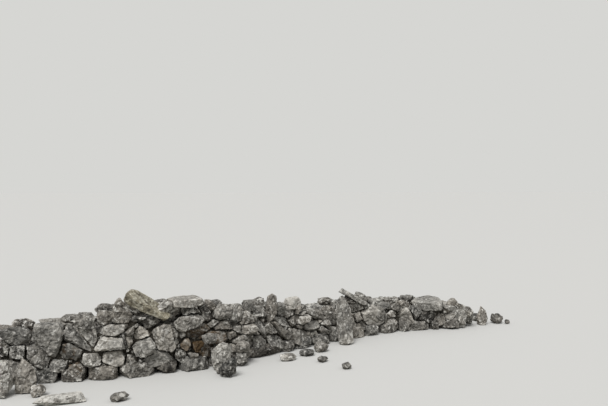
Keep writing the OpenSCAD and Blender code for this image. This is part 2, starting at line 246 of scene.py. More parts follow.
def joinStones(name, stones):
    verts, faces, looks, wears, base = [], [], [], [], 0
    for stone in stones:
        v, f = shapeOf(stone)
        verts.append(v)
        faces.append(f + base)
        looks += [(stone["tone"], stone["lichen"], stone["stain"], stone["warm"])] * len(v)
        wears += [min(1.0, max(worn["least"], stone["thick"] / worn["fullFrom"]))] * len(v)
        base += len(v)
    mesh = bpy.data.meshes.new(name)
    mesh.from_pydata(np.vstack(verts).tolist(), [], np.vstack(faces).tolist())
    paintLooks(mesh, looks)
    mesh.attributes.new("worn", "FLOAT", "POINT").data.foreach_set("value", np.array(wears, np.float32))
    mesh.polygons.foreach_set("use_smooth", [True] * len(mesh.polygons))
    return inScene(name, mesh)

# weathering, done by Geometry Nodes on each joined mesh: the real sizes of its patches in mm, depths in m

weathering = {
    "lumpSize": 120.0, "lumpDepth": 0.006, "chipSize": 48.0, "chipDepth": 0.0055,
    "creaseSize": 120.0, "creaseDepth": 0.014, "pitSize": 30.0, "pitDepth": 0.0055,
}
slabWeathering = {**weathering, "lumpDepth": 0.005, "creaseDepth": 0.008}  # slabs stay flatter

def stoneSpace(tree, where, look):  # each stone has its own stretch of a pattern
    shift = addNode(tree, "ShaderNodeVectorMath", {0: look, 1: (37.0, 53.0, 29.0)}, operation="MULTIPLY")
    return addNode(tree, "ShaderNodeVectorMath", {0: where, 1: shift}, operation="ADD")

def beginTree(name, sizes):  # a Geometry Nodes tree with a named input for each size
    tree = bpy.data.node_groups.new(name, "GeometryNodeTree")
    tree.interface.new_socket("Geometry", in_out="INPUT", socket_type="NodeSocketGeometry")
    for label, value in sizes.items():
        kind = "NodeSocketInt" if isinstance(value, int) else "NodeSocketFloat"
        tree.interface.new_socket(label, in_out="INPUT", socket_type=kind).default_value = value
    tree.interface.new_socket("Geometry", in_out="OUTPUT", socket_type="NodeSocketGeometry")
    return tree, addNode(tree, "NodeGroupInput").outputs

def endTree(tree, geometry, finish):  # what it has made becomes real mesh, with its finish on
    real = addNode(tree, "GeometryNodeRealizeInstances", {"Geometry": geometry})
    dressed = addNode(tree, "GeometryNodeSetMaterial", {"Geometry": real, "Material": finish})
    addNode(tree, "NodeGroupOutput", {"Geometry": dressed})
    return tree

def weatheringTree(finish):
    tree, start = beginTree("weatherStone", weathering)
    look = addNode(tree, "GeometryNodeInputNamedAttribute", {"Name": "stoneLook"}, data_type="FLOAT_VECTOR")
    where = stoneSpace(tree, addNode(tree, "GeometryNodeInputPosition"), look)
    scales, waves, height = {}, {}, 0.0
    for kind in ("lump", "chip", "crease", "pit"):
        scales[kind] = addNode(tree, "ShaderNodeMath", {0: 1000.0, 1: start[kind + "Size"]},
                               operation="DIVIDE")
    for kind, detail, rough in (("lump", 2.0, 0.5), ("chip", 3.0, 0.6), ("crease", 2.0, 0.55)):
        waves[kind] = addNode(tree, "ShaderNodeTexNoise", {"Vector": where, "Scale": scales[kind],
                                                           "Detail": detail, "Roughness": rough})
    # folded at its middle value, a pattern has a sharp crest there, which is cut in as a crease
    waves["crease"] = addNode(tree, "ShaderNodeMath", {0: waves["crease"], 1: 0.5}, operation="PINGPONG")
    waves["pit"] = addNode(tree, "ShaderNodeTexVoronoi", {"Vector": where, "Scale": scales["pit"]},
                           feature="SMOOTH_F1")
    relief = (  # from where to where in its pattern, and how far out the stone's skin is at each, in depths
        ("lump", 0.0, 1.0, -1.44, 0.96, "LINEAR"), ("chip", 0.0, 1.0, -1.44, 0.96, "LINEAR"),
        ("crease", 0.44, 0.5, 0.0, -1.0, "SMOOTHSTEP"), ("pit", 0.0, 0.5, -1.0, 0.0, "SMOOTHSTEP"),
    )
    for kind, low, high, atLow, atHigh, blending in relief:
        out = addNode(tree, "ShaderNodeMapRange", {0: waves[kind], 1: low, 2: high, 3: atLow, 4: atHigh},
                      interpolation_type=blending, clamp=False)
        height = addNode(tree, "ShaderNodeMath", {0: out, 1: start[kind + "Depth"], 2: height},
                         operation="MULTIPLY_ADD")
    share = addNode(tree, "GeometryNodeInputNamedAttribute", {"Name": "worn"}, data_type="FLOAT")
    height = addNode(tree, "ShaderNodeMath", {0: height, 1: share}, operation="MULTIPLY")
    outward = addNode(tree, "GeometryNodeInputNormal")
    move = addNode(tree, "ShaderNodeVectorMath", {0: outward, "Scale": height}, operation="SCALE")
    moved = addNode(tree, "GeometryNodeSetPosition", {"Geometry": start["Geometry"], "Offset": move})
    return endTree(tree, moved, finish)

def runNodes(obj, tree, values):
    modifier = obj.modifiers.new("nodes", "NODES")
    modifier.node_group = tree
    for item in tree.interface.items_tree:
        if item.item_type == "SOCKET" and item.in_out == "INPUT" and item.name in values:
            modifier[item.identifier] = values[item.name]
    depsgraph = bpy.context.evaluated_depsgraph_get()
    mesh = bpy.data.meshes.new_from_object(obj.evaluated_get(depsgraph), depsgraph=depsgraph)
    obj.modifiers.remove(modifier)
    obj.data = mesh

# materials: colours in sRGB, patch sizes in mm

def limestone(name, look):
    # field limestone, weathered for centuries: matt and grey, white lichen, dark crust, pits and brown stain
    material = bpy.data.materials.new(name)
    material.use_nodes = True
    tree = material.node_tree
    tree.nodes.clear()
    stone = addNode(tree, "ShaderNodeAttribute", attribute_name="stoneLook")
    tone, lichen, stain = addNode(tree, "ShaderNodeSeparateColor", {"Color": stone}).outputs
    where = stoneSpace(tree, addNode(tree, "ShaderNodeTexCoord").outputs["Object"], stone)

    # how pale it is: the stone's own tone, with mottling, specks and grain
    pale = addNode(tree, "ShaderNodeMath", {0: tone, 1: 0.8, 2: -1.02}, operation="MULTIPLY_ADD")
    for pattern, detail, rough, share in (("mottleSize", 4.0, 0.6, 0.8), ("speckSize", 3.0, 0.7, 0.85),
                                          ("grainSize", 5.0, 0.75, 0.65)):
        wave = addNode(tree, "ShaderNodeTexNoise", {"Vector": where, "Scale": perMetre(look[pattern]),
                                                    "Detail": detail, "Roughness": rough})
        pale = addNode(tree, "ShaderNodeMath", {0: wave, 1: share, 2: pale}, operation="MULTIPLY_ADD")
    ramp = addNode(tree, "ShaderNodeValToRGB", {0: pale})
    ramp.color_ramp.elements.new(0.5)
    stops = zip(ramp.color_ramp.elements, (0.24, 0.54, 0.86), ("dark", "middle", "pale"))
    for stop, position, shade in stops:
        stop.position = position
        stop.color = linearColour(look[shade])
    tint = addNode(tree, "ShaderNodeMix", {0: stone.outputs["Alpha"], 6: linearColour(look["cool"]),
                                           7: linearColour(look["warm"])}, data_type="RGBA").outputs[2]
    colour = addNode(tree, "ShaderNodeMix", {0: 0.55, 6: ramp, 7: tint}, data_type="RGBA",
                     blend_type="SOFT_LIGHT").outputs[2]

    covers = (  # colour, patch size, where a patch starts, how sharp and how strong it is, what adds to it
        ("crust", "crustSize", 0.56, 8.0, 0.72, 0.0, 0.0),
        ("lichen", "lichenSize", 0.62, 12.0, 0.78, lichen, 0.16),
        ("lichen", "spotSize", 0.66, 16.0, 0.7, lichen, 0.1),
        ("crust", "holeSize", 0.6, 14.0, 0.6, 0.0, 0.0), ("stain", "stainSize", 0.8, 6.0, 0.8, stain, 0.5),
    )
    for cover, pattern, least, sharp, strength, more, share in covers:
        wave = addNode(tree, "ShaderNodeTexNoise", {"Vector": where, "Scale": perMetre(look[pattern]),
                                                    "Detail": 5.0, "Roughness": 0.65, "Distortion": 0.4})
        wave = addNode(tree, "ShaderNodeMath", {0: more, 1: share, 2: wave}, operation="MULTIPLY_ADD")
        patch = addNode(tree, "ShaderNodeMapRange", {0: wave, 1: least, 2: least + 1 / sharp, 4: strength})
        colour = addNode(tree, "ShaderNodeMix", {0: patch, 6: colour, 7: linearColour(look[cover])},
                         data_type="RGBA").outputs[2]

    # edges are rubbed pale as wear, while hollows are darkened to half, partly for soil and partly as painted
    # shade, and small pits roughen it all
    edge = addNode(tree, "ShaderNodeNewGeometry").outputs["Pointiness"]
    paleEdgesAndPaintedHollowShade = addNode(tree, "ShaderNodeMapRange", {0: edge, 1: 0.43, 2: 0.56, 3: 0.5, 4: 1.25})
    colour = addNode(tree, "ShaderNodeMix", {0: 1.0, 6: colour, 7: paleEdgesAndPaintedHollowShade}, data_type="RGBA",
                     blend_type="MULTIPLY").outputs[2]
    rough = addNode(tree, "ShaderNodeTexNoise", {"Vector": where, "Scale": perMetre(look["roughSize"]),
                                                 "Detail": 6.0, "Roughness": 0.75})
    pits = addNode(tree, "ShaderNodeTexVoronoi", {"Vector": where, "Scale": perMetre(look["pitSize"])},
                   feature="SMOOTH_F1")
    height = addNode(tree, "ShaderNodeMath", {0: pits, 1: 0.5, 2: rough}, operation="MULTIPLY_ADD")
    bump = addNode(tree, "ShaderNodeBump", {"Height": height, "Strength": 1.0, "Distance": look["bumpDepth"]})
    shader = addNode(tree, "ShaderNodeBsdfPrincipled", {"Base Color": colour, "Roughness": 0.92,
                                                         "Specular IOR Level": 0.25, "Normal": bump})
    addNode(tree, "ShaderNodeOutputMaterial", {"Surface": shader})
    return material

limestoneLook = {
    "dark": "#464542", "middle": "#98958f", "pale": "#cfcbc3", "lichen": "#e6e3db", "crust": "#393734",
    "stain": "#5e4a30", "cool": "#7f8284", "warm": "#8b7f72", "mottleSize": 110.0, "speckSize": 38.4,
    "grainSize": 16.0, "lichenSize": 56.0, "spotSize": 19.04, "crustSize": 64.0, "holeSize": 23.4,
    "stainSize": 75.0, "pitSize": 18.0, "roughSize": 34.0, "bumpDepth": 0.018,
}
weatheredLimestone = limestone("weatheredLimestone", limestoneLook)
# rubble that rain never washes: earthy, and darkened further as painted shade, so the joints read as shadow
packedRubbleInPaintedShade = limestone("packedRubbleInPaintedShade", {**limestoneLook, "dark": "#2c2a26", "middle": "#5a564e",
                                          "pale": "#7f796c", "crust": "#201e1b", "bumpDepth": 0.03})
# the leaning slab's tan crust, which sets it off from the grey stones round it
tannedLimestone = limestone("tannedLimestone", {**limestoneLook, "dark": "#4d4a42", "middle": "#8a8576",
                                                "pale": "#b8b3a1", "lichen": "#cfcab8"})
weatherTree = weatheringTree(weatheredLimestone)
print("materials made")

# single stones that the frame already has

sameSpot = 1e-5  # corners closer than this are one
flats = {"smallest": 1e-6, "sameWay": 0.9995, "sameDistance": 1e-4}  # which flat sides count, and are one

def mergedCopy(name):  # a frame mesh is loose triangles, so a copy of it is merged
    bm = bmesh.new()
    bm.from_mesh(meshOf(name))
    bmesh.ops.remove_doubles(bm, verts=bm.verts, dist=sameSpot)
    return bm

def islandsOf(name):  # the corners of each stone in a node
    bm = mergedCopy(name)
    bm.verts.index_update()
    seen, islands = set(), []
    for first in bm.verts:
        group, edge = [], [first]
        while edge:
            v = edge.pop()
            if v.index not in seen:
                seen.add(v.index)
                group.append(v.co[:])
                edge += [e.other_vert(v) for e in v.link_edges]
        if group:
            islands.append(np.array(sorted(group)))
    bm.free()
    return sorted(islands, key=lambda group: tuple(np.round(group.mean(axis=0), 3)))

def solidStone(points):  # a stone from the corners that the frame gives
    bm = bmesh.new()
    for p in points:
        bm.verts.new(p)
    bmesh.ops.convex_hull(bm, input=bm.verts)
    bm.normal_update()
    inside = points.mean(axis=0)
    planes, offsets = [], []
    for f in bm.faces:
        n = np.array(f.normal)
        d = n @ np.array(f.verts[0].co)
        if n @ inside > d:
            n, d = -n, -d
        same = [n @ m > flats["sameWay"] and abs(d - e) < flats["sameDistance"]
                for m, e in zip(planes, offsets)]
        if f.calc_area() >= flats["smallest"] and not any(same):
            planes.append(n)
            offsets.append(d)
    bm.free()
    centre = (points.min(axis=0) + points.max(axis=0)) / 2
    return {"centre": centre, "planes": np.array(planes), "offsets": np.array(offsets), "points": points}

def spotsOf(outline):  # the points of an outline that is written down
    return [tuple(map(float, spot.split(","))) for spot in outline.split()]

def outlineSides(solid, outline):  # planes through the eye and the edges of an outline
    middle = sightLine(*pixelOf(solid["centre"]))
    rays = [sightLine(*p) for p in hullOf(spotsOf(outline))]
    sides = []
    for a, b in zip(rays, rays[1:] + rays[:1]):
        n = np.cross(a, b)
        n /= np.linalg.norm(n)
        if n @ middle > 0:
            n = -n
        sides.append(n / max(n @ (eye - solid["centre"]), single["leastHalf"]))
    return np.array(sides)

def boxSides(solid, axes):  # the box around the frame's stone, along the given axes
    reach = (solid["points"] - solid["centre"]) @ axes
    return np.vstack([axes.T / reach.max(axis=0)[:, None], axes.T / reach.min(axis=0)[:, None]])

def slabAxes(solid):  # along, across and through a slab
    return np.linalg.svd(solid["points"] - solid["points"].mean(axis=0))[2].T

def bedAxes(x, tip):  # along the wall, across it and up, tipped by some degrees
    return np.array(Matrix.Rotation(lineTurn(x), 3, "Z") @ Matrix.Rotation(math.radians(tip), 3, "X"))

def dressedStone(solid, outline, isSlab, cuts, spacing, dice, tone, lichen, stain):
    slack = 1.0
    if outline:  # its outline and its box shape it, and the frame's own sides stand back
        slack = single["slabSlack"] if isSlab else single["slack"]
    room = solid["offsets"] - solid["planes"] @ solid["centre"]
    sides = solid["planes"] / (room[:, None] * slack)
    if outline:
        axes = slabAxes(solid) if isSlab else bedAxes(solid["centre"][0], dice.normal(0, single["tip"]))
        ground = [[0, 0, -1 / max(solid["centre"][2] - single["overGround"], single["leastHalf"])]]
        sides = np.vstack([sides, boxSides(solid, axes), outlineSides(solid, outline), ground])
    sides = knockOff(sides, np.ones(3), dice, *cuts)
    grid = gridFor(np.ptp(solid["points"], axis=0) / 2, spacing)
    thick = np.ptp((solid["points"] - solid["centre"]) @ slabAxes(solid), axis=0).min()
    return newStone(solid["centre"], np.ones(3), np.eye(3), sides, grid, thick, dice, tone, lichen, stain)

breaks = {  # how many broken faces a stone has, and how much of it each one leaves
    "boulder": (6, (0.77, 0.95)), "slab": (4, (0.95, 0.99)), "footing": (9, (0.74, 0.95)),
    "tumbled": (12, (0.74, 0.94)),
}
frameStones = {  # how it is broken, how far apart its points are, how pale, how much lichen, how stained
    "leaning_slab": ("slab", 0.011, 0.66, 0.8, 0.0), "prop_stone": ("boulder", 0.013, 0.5, 0.5, 0.0),
    "flat_cope_slab": ("slab", 0.012, 0.62, 0.6, 0.0), "raised_slab": ("slab", 0.012, 0.55, 0.5, 0.0),
    "broad_slab": ("slab", 0.013, 0.6, 0.6, 0.0), "upright_slab": ("slab", 0.012, 0.46, 0.4, 0.0),
    "pointed_boulder": ("slab", 0.012, 0.36, 0.3, 0.0), "corner_boulder": ("boulder", 0.012, 0.5, 0.9, 0.0),
    "long_fallen_slab": ("boulder", 0.012, 0.75, 0.9, 0.0),
    "fallen_stones": ("boulder", 0.015, 0.5, 0.5, 0.05),
    "front_tumble_lower": ("tumbled", 0.013, 0.5, 0.4, 0.2),
    "front_tumble_upper": ("tumbled", 0.013, 0.52, 0.5, 0.2),
    "tail_stones": ("boulder", 0.015, 0.5, 0.5, 0.1), "through_stones": ("slab", 0.018, 0.55, 0.6, 0.05),
    "face_boulders": ("slab", 0.012, 0.55, 0.5, 0.0),
}
for k in bayNumbers:
    frameStones[f"footings_{k}"] = ("footing", 0.017, 0.42, 0.35, 0.1)
    frameStones[f"cope_stones_{k}"] = ("boulder", 0.0125, 0.5, 0.5, 0.0)
spread = {"tone": 0.15, "lichen": 0.2}  # how far one stone may differ from the rest of its node

singleStones = {  # the node, how pale, and the outline as x,y in pixels of the photograph, read off it
    "bigBoulder": ("face_boulders", 0.58,
        "34,324 41,322 60,322 64,326 64,332 62,340 60,350 55,358 49,356 40,345 33,341 31,338"),
    "pointedBoulder": ("pointed_boulder", 0.62, "22,357 30,364 36,371 37,382 36,394 14,394 15,380 18,367"),
    "leaningSlab": ("leaning_slab", 0.6,
        "123,300 126,293 131,289 137,290 150,297 163,307 171,312 171,317 164,321 154,316 140,311 129,306"),
    "flatTop": ("flat_cope_slab", 0.66,
        "163,307 164,296 169,293 188,294 192,293 202,298 205,302 204,305 192,308 181,308 169,308"),
    "uprightSlab": ("upright_slab", 0.54,
        "334,306 340,296 343,295 347,301 351,308 352,320 354,346 337,346 337,320"),
    "raisedSlab": ("raised_slab", 0.6,
        "338,292 342,288 349,292 358,297 368,303 367,306 360,305 350,300 344,296"),
    "broadSlab": ("broad_slab", 0.62,
        "410,301 417,297 428,295 438,297 444,303 445,310 440,311 420,311 414,306"),
    "topDark": ("cope_stones_1", 0.45, "73,319 80,311 90,310 95,316 99,326 97,330 88,329 76,329 73,324"),
    "topPair": ("cope_stones_2", 0.52, "92,312 100,309 112,310 116,314 112,322 106,326 99,325 95,318"),
    "bigRounded": ("face_boulders", 0.6,
        "173,323 179,317 192,314 202,315 205,320 200,326 193,328 185,332 180,333 175,328"),
    "topRight": ("cope_stones_3", 0.5, "204,299 210,299 217,306 216,311 210,310 204,306"),
    "upright": ("face_boulders", 0.56,
        "267,296 272,293 277,296 278,306 277,314 272,321 267,324 265,318 266,305"),
    "whiteTop": ("cope_stones_4", 1.3, "283,303 285,298 293,296 299,296 302,303 302,309 287,310 284,307"),
    "pinkBlock": ("cope_stones_4", 0.42, "319,310 324,305 335,303 338,307 337,314 330,316 322,315"),
    "secondSlab": ("cope_stones_5", 0.55, "352,294 357,291 363,293 369,298 366,303 358,302"),
    "rightTop": ("cope_stones_5", 0.55, "365,303 370,298 378,297 384,301 382,306 373,308 367,307"),
    "bigRound": ("face_boulders", 0.5,
        "365,314 371,309 378,305 384,309 388,316 388,321 384,324 376,325 369,323 366,319"),
    "brownTop": ("cope_stones_5", 0.42, "395,303 401,299 408,302 412,306 410,308 397,308"),
    "roundTop": ("cope_stones_6", 0.56, "446,302 451,297 457,296 459,301 458,306 455,309 447,308"),
    "lightBoulder": ("front_tumble_lower", 0.8,
        "211,351 217,345 227,338 232,342 232,350 228,360 228,374 215,374 211,360"),
    "toe": ("front_tumble_lower", 0.3, "218,368 227,360 234,356 238,361 239,368 238,378 219,378"),
}
# match: how many pixels its outline may be from where the frame has it
single = {"match": 11.0, "slack": 1.3, "slabSlack": 1.7, "tip": 4.0, "overGround": 0.003, "leastHalf": 0.02}

solidsOf, pieces = {}, []
dice = np.random.default_rng(seeds["frameStones"])
for name, (kind, spacing, tone, lichen, stain) in frameStones.items():
    solids = [solidStone(points) for points in islandsOf(name)]
    solidsOf[name] = solids
    middles = np.array([pixelOf(solid["centre"]) for solid in solids])
    found = {}
    for node, own, outline in singleStones.values():
        if node == name:
            spots = spotsOf(outline)
            apart = np.linalg.norm(middles - (np.min(spots, axis=0) + np.max(spots, axis=0)) / 2, axis=1)
            if apart.min() < single["match"]:
                found[int(apart.argmin())] = (own, outline)
    stones = []
    for k, solid in enumerate(solids):
        own, outline = found.get(k, (tone + dice.uniform(-spread["tone"], spread["tone"]), None))
        growth = lichen + dice.uniform(-spread["lichen"], spread["lichen"])
        isSlab, cuts = "slab" in name, breaks[kind]
        stones.append(dressedStone(solid, outline, isSlab, cuts, spacing, dice, own, growth, stain))
    pieces.append((name + "_stone", stones, name))
print("frame stones:", sum(map(len, solidsOf.values())))

# the front face, stone by stone: how pale each one is, and its outline in the same way
frontStones = {
    "bigRound": (0.8, singleStones["bigRound"][2]),
    "nearTop": (0.42, "1,332 8,330 19,329 27,332 29,337 24,345 8,345 1,340"),
    "nearLow": (0.25, "0,342 6,342 9,347 9,353 5,357 0,356"),
    "nearRound": (0.32, "9,352 12,348 21,345 26,347 26,353 22,357 15,357 10,356"),
    "leftLichen": (0.5, "25,349 31,346 41,346 45,352 49,361 46,369 39,368 32,362 27,356"),
    "leftWedge": (0.48, "65,327 70,326 75,329 82,337 88,346 90,353 86,353 77,347 66,344 64,337"),
    "leftUpper": (0.45, "79,332 85,329 95,329 97,337 96,346 90,347 86,342 81,337"),
    "pinkEnd": (0.62, "99,332 107,329 116,325 126,325 129,330 125,333 117,337 104,336 99,335"),
    "whiteFront": (0.8, "96,343 101,339 110,338 119,340 119,349 110,352 97,352 94,347"),
    "tanHollow": (0.5, "61,347 70,346 80,347 82,353 81,359 74,362 62,361 59,356"),
    "whiteSpots": (0.5, "50,362 55,359 64,360 67,364 66,370 60,372 52,370"),
    "tanLow": (0.6, "68,366 75,364 80,365 82,370 80,375 72,375 68,370"),
    "lowMiddle": (0.64, "83,357 90,354 99,354 102,357 102,362 95,365 87,365 84,362"),
    "lowPale": (0.78, "102,356 109,351 119,350 124,356 126,363 119,365 107,362 102,360"),
    "lowFlat": (0.6, "86,369 94,367 106,364 114,367 110,373 100,375 87,373"),
    "cornerGrey": (0.45, "126,356 131,357 135,363 133,369 127,371 125,364"),
    "broadGrey": (0.66, "131,348 135,343 147,339 154,342 153,352 145,356 136,355"),
    "lowWedge": (0.66, "146,361 154,356 161,351 166,353 174,353 175,358 166,363 159,365 151,367"),
    "pinkPale": (0.85, "134,334 137,330 144,328 150,332 150,337 141,340 135,341"),
    "smallGrey": (0.4, "126,330 131,326 135,328 134,334 129,336"),
    "smallDark": (0.28, "120,336 125,338 127,347 124,347 120,342"),
    "thinUpright": (0.85, "129,337 132,337 132,346 128,346"),
    "slabProp": (0.55, "114,316 115,309 117,304 121,301 125,303 131,309 134,313 132,319 125,324 116,324"),
    "slabWedge": (0.3, "130,304 137,307 144,312 142,317 134,316 130,311"),
    "underSlab": (0.42, "134,315 141,316 145,320 137,325 131,323"),
    "slabFoot": (0.45, "141,321 150,318 156,317 158,321 153,326 145,327"),
    "tallPale": (0.72, "155,330 162,326 170,326 173,335 176,346 174,350 163,351 157,347 154,338"),
    "sliver": (0.4, "173,330 176,330 178,336 175,338"),
    "slabEnd": (0.52, "160,308 168,304 177,306 182,311 178,317 170,320 165,317 160,313"),
    "pitted": (0.25, "181,308 188,306 196,309 193,313 187,315 182,313"),
    "darkUpright": (0.36, "200,307 207,306 212,311 214,319 210,323 205,321 203,313"),
    "pointRight": (0.5, "188,331 192,327 198,325 205,321 213,329 207,331 200,335 197,340 193,341 189,336"),
    "paleFlat": (0.6, "207,335 212,331 223,331 228,335 223,340 218,343 212,340"),
    "roundGrey": (0.56, "214,312 217,309 222,306 231,306 233,311 229,318 222,320 216,316"),
    "standing": (0.58, "231,309 234,306 238,305 242,307 243,316 241,321 238,324 232,320 230,317"),
    "pointLow": (0.48, "216,327 222,321 227,320 233,324 234,327 227,330 218,330"),
    "flatLow": (0.5, "208,325 214,320 222,321 217,325 212,327"),
    "wedgeEnd": (0.55, "236,330 239,324 243,331 246,334 239,333"),
    "spotted": (0.5, "242,319 244,314 249,313 254,318 253,324 247,325 242,323"),
    "flatEnd": (0.5, "234,341 240,336 245,335 253,344 250,348 246,349 241,346 235,345"),
    "flatSmall": (0.58, "230,334 235,332 240,335 237,337 231,338"),
    "whiteEnd": (0.66, "232,345 235,344 240,346 250,352 246,354 240,352 233,350"),
    "hollowWhite": (0.82, "184,346 187,341 191,341 192,346 189,351 185,350"),
    "hollowDark": (0.12, "192,342 199,341 203,345 201,351 194,352"),
    "hollowPale": (0.6, "190,354 193,352 198,353 197,356 192,357"),
    "hollowMottled": (0.5, "201,350 205,345 210,349 210,355 205,357 202,355"),
    "hollowLow": (0.2, "178,350 184,352 188,358 182,361 177,357"),
    "darkPink": (0.36, "255,310 263,308 268,311 267,315 259,317 255,314"),
    "leanThin": (0.52, "257,321 261,320 266,328 269,337 267,336 262,330 258,326"),
    "midGrey": (0.5, "267,328 270,324 274,325 277,331 272,333 267,332"),
    "behindUpright": (0.5, "278,306 283,304 287,311 288,317 283,317 279,312"),
    "midBlock": (0.55, "273,320 277,316 284,316 290,322 292,326 283,324 277,323"),
    "leanLong": (0.55, "274,324 277,322 287,329 293,338 290,339 283,334 277,328"),
    "underWhite": (0.5, "288,311 293,308 298,309 297,315 292,318 288,316"),
    "besideWhite": (0.45, "297,309 303,307 304,310 299,314 297,313"),
    "slopePale": (0.66, "298,316 304,311 309,318 303,319"),
    "slopeFoot": (0.56, "293,322 297,316 300,318 299,323 295,325"),
    "slopeFlat": (0.55, "307,313 313,311 322,315 328,319 326,320 320,319 310,317"),
    "palePair": (0.62, "307,322 313,319 318,320 318,327 312,329 307,328"),
    "slopeLow": (0.5, "321,323 328,319 331,321 326,325"),
    "smallLow": (0.56, "320,329 323,327 330,332 324,333"),
    "besideUpright": (0.5, "327,313 334,313 338,318 336,324 330,323 327,318"),
    "whiteChip": (0.85, "338,321 341,319 343,326 340,327"),
    "hollowPeg": (0.6, "357,315 360,314 362,319 359,321"),
    "lowLong": (0.5, "345,329 349,326 357,329 362,335 355,336 348,333"),
    "lowRound": (0.52, "359,329 363,326 369,328 371,333 365,334"),
    "lowEnd": (0.6, "377,328 382,325 387,327 388,332 380,333"),
    "rightMiddle": (0.52, "388,313 393,310 398,312 397,318 391,319"),
    "rightBehind": (0.48, "381,306 385,304 393,306 393,310 387,310 382,309"),
    "pinkTop": (0.42, "393,309 397,306 403,308 402,311 397,312"),
    "leftOfTriangle": (0.58, "387,321 392,318 397,320 396,325 390,326"),
    "triangle": (0.72, "398,315 407,308 410,310 413,318 417,324 410,325 403,324 398,319"),
    "darkRound": (0.38, "412,310 416,306 420,311 419,315 415,318 413,314"),
    "darkUnder": (0.16, "418,317 422,312 432,311 434,317 433,323 425,321"),
    "paleChip": (0.85, "421,322 425,321 427,323 426,325 422,324"),
    "lowMix": (0.6, "436,319 440,315 445,317 446,323 440,325"),
    "endChip": (0.55, "447,317 453,312 456,314 453,318 450,320"),
    "endFlat": (0.58, "447,308 450,307 458,309 456,312 450,311"),
    "endLong": (0.56, "457,307 460,305 469,309 474,314 472,317 467,316 462,312"),
    "endRow": (0.55, "457,318 462,316 466,318 465,323 459,323"),
    "endLow": (0.55, "467,318 472,317 476,319 475,323 468,323"),
}
brownStones = {  # how much brown these have of their own
    "tanHollow": 0.62, "tanLow": 0.66, "tallPale": 0.2, "pinkEnd": 0.3, "whiteSpots": 0.2, "pointLow": 0.2,
    "smallGrey": 0.25,
}

# the faces laid out flat, as charts: the front and the back along the wall, the ends across it

charts = {
    "front": {"side": -1}, "back": {"side": 1},
    "nearEnd": {"way": -1, "x": -wallLength / 2}, "farEnd": {"way": 1, "x": masonryEnd},
}
for chart in charts.values():
    if "side" in chart:
        xs = np.linspace(-wallLength / 2 - 0.4, wallLength / 2 + 0.4, 800)  # past both ends, 10 mm apart
        edge = np.array([place(x, chart["side"] * halfAt(faceMiddle), 0.0) for x in xs])
        run = np.concatenate([[0], np.cumsum(np.linalg.norm(np.diff(edge, axis=0), axis=1))])
        chart["xs"], chart["run"] = xs, run

def onChart(chart, x, z):  # a place on a face, laid out flat
    return np.array([-chart["side"] * np.interp(x, chart["xs"], chart["run"]), z])

def alongAt(chart, u):
    return np.interp(-chart["side"] * u, chart["run"], chart["xs"])

def chartEnds(chart):  # where the masonry starts and ends on it
    return sorted(onChart(chart, x, 0)[0] for x in (-wallLength / 2, masonryEnd))

def surfaceAt(chart, u, z):  # and back: the point on the face, and the ways along, inward and up
    x = alongAt(chart, u) if "side" in chart else chart["x"]
    t = lineTurn(x)
    along, across = np.array([math.cos(t), math.sin(t), 0.0]), np.array([-math.sin(t), math.cos(t), 0.0])
    if "side" in chart:
        side = chart["side"]
        return place(x, side * halfAt(z), z), np.stack([-side * along, -side * across, [0, 0, 1]], axis=1)
    way = chart["way"]
    return place(x, way * u, z), np.stack([way * across, -way * along, [0, 0, 1]], axis=1)

probe = {"inward": 0.1, "above": 2.0}  # how far in, and from how high, the broken top is felt for

def topOf(chart, u):
    point, axes = surfaceAt(chart, u, faceMiddle)
    point = point + axes[:, 1] * probe["inward"]
    hit = topTree.ray_cast(Vector((point[0], point[1], probe["above"])), Vector((0, 0, -1)))
    return hit[0].z if hit[0] else 0.0

# outlines on a chart, which share it out between them

joints = {"gap": 0.002, "grow": 0.03, "corner": 0.04, "overlap": 0.06, "near": 0.1, "through": 0.12}
nearby = 0.6  # stones further apart than this can't touch

def edgesOf(outline):  # outward ways and distances of an outline that turns left
    ends = np.roll(outline, -1, axis=0)
    ways = np.stack([ends[:, 1] - outline[:, 1], outline[:, 0] - ends[:, 0]], axis=1)
    sizes = np.linalg.norm(ways, axis=1)
    keep = sizes > sameSpot
    ways = ways[keep] / sizes[keep, None]
    return ways, (ways * outline[keep]).sum(axis=1)

def cutOutline(outline, way, far):  # keeps what is less than this far along the way
    kept = []
    over = outline @ way - far
    for k in range(len(outline)):
        a, b, p, q = outline[k - 1], outline[k], over[k - 1], over[k]
        if (p < 0) != (q < 0):
            kept.append(a + (b - a) * p / (p - q))
        if q < 0:
            kept.append(b)
    return np.array(kept).reshape(-1, 2)

def isWide(outline, least):
    return len(outline) > 2 and np.ptp(outline, axis=0).min() > least

def boxAround(outline, more):
    (x0, z0), (x1, z1) = outline.min(axis=0) - more, outline.max(axis=0) + more
    return np.array([(x0, z0), (x1, z0), (x1, z1), (x0, z1)])

def partLine(a, b):  # the line that parts two outlines best
    ways = np.vstack([edgesOf(a)[0], -edgesOf(b)[0]])
    near, far = (a @ ways.T).max(axis=0), (b @ ways.T).min(axis=0)
    k = int(np.argmax(far - near))
    return ways[k], near[k], far[k]

def shareOut(outlines, obstacles):  # each outline grows until it meets its neighbours
    grown = []
    for outline in outlines:
        room = boxAround(outline, joints["corner"])
        for way, far in zip(*edgesOf(outline)):
            room = cutOutline(room, way, far + joints["grow"])
        grown.append(room)
    for i, a in enumerate(outlines):
        low, high = a.min(axis=0) - joints["near"], a.max(axis=0) + joints["near"]
        for j, b in enumerate(outlines + obstacles):
            if j == i or np.any(low > b.max(axis=0)) or np.any(b.min(axis=0) > high):
                continue
            way, near, far = partLine(a, b)
            if far - near >= -joints["overlap"] and len(grown[i]):
                line = (near + far) / 2 if j < len(outlines) else far
                grown[i] = cutOutline(grown[i], way, line - joints["gap"] / 2)
    return grown

def farFrom(points, outline):  # how far points are outside an outline, less than nothing inside
    ways, fars = edgesOf(outline)
    return (points @ ways.T - fars).max(axis=1)

